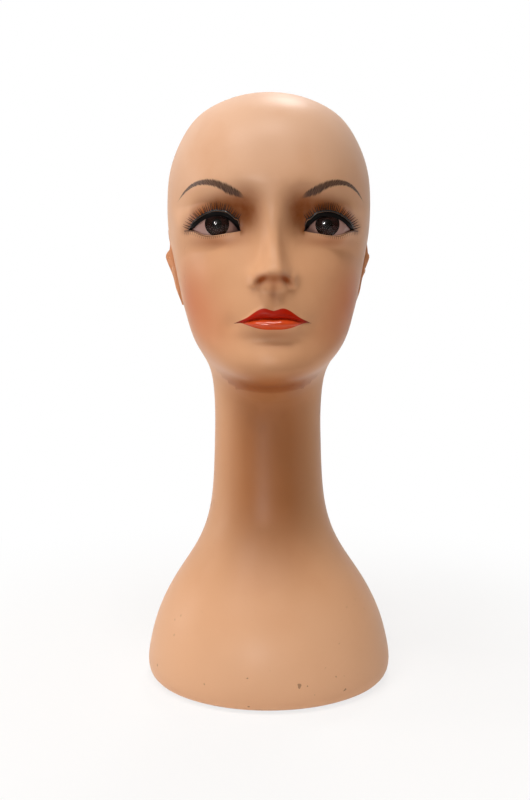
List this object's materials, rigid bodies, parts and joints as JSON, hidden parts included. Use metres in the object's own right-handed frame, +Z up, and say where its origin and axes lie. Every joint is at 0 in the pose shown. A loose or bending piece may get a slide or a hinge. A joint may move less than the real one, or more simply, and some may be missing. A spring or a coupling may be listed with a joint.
{
  "type": "mannequin display head",
  "caption": "Bald mannequin head on a long neck and flared weighted bust, with glossy eyes and lash strips, for wigs, hats and make-up practice.",
  "frame": {"origin": "under the middle of the base, on the surface that the feet stand on", "axes": "+Z up; the face looks along -Y; the head's own left is +X"},
  "size_m": [0.191, 0.2095, 0.4495],
  "materials": {
    "painted_skin": "satin skin-tone paint with airbrushed make-up",
    "laminate": "rough resin laminate",
    "eye_white": "glossy, dull pinkish grey",
    "iris": "dark brown print under the clear cap",
    "cornea": "clear, polished",
    "putty": "matt filler",
    "lash_band": "black cotton band set in glue",
    "lash_fibre": "black synthetic fibre",
    "base_board": "sealed hardboard",
    "block_wood": "plain softwood",
    "zinc_steel": "bright zinc plate",
    "socket_plastic": "moulded black",
    "ballast_iron": "as cast",
    "foot_rubber": "matt"
  },
  "bodies": {
    "root": {"front_shell": "painted_skin", "rear_shell": "painted_skin", "seam_strip": "laminate", "left_eye_white": "eye_white", "left_iris": "iris", "left_cornea": "cornea", "left_eye_putty": "putty", "left_lash_band": "lash_band", "left_lashes": "lash_fibre", "right_eye_white": "eye_white", "right_iris": "iris", "right_cornea": "cornea", "right_eye_putty": "putty", "right_lash_band": "lash_band", "right_lashes": "lash_fibre", "base_plate": "base_board", "plate_blocks": "block_wood", "plate_screws": "zinc_steel", "stand_socket": "socket_plastic", "socket_screws": "zinc_steel", "ballast_ring": "ballast_iron", "ballast_bolts": "zinc_steel", "ballast_nuts": "zinc_steel", "rubber_feet": "foot_rubber"}
  },
  "joints": []
}
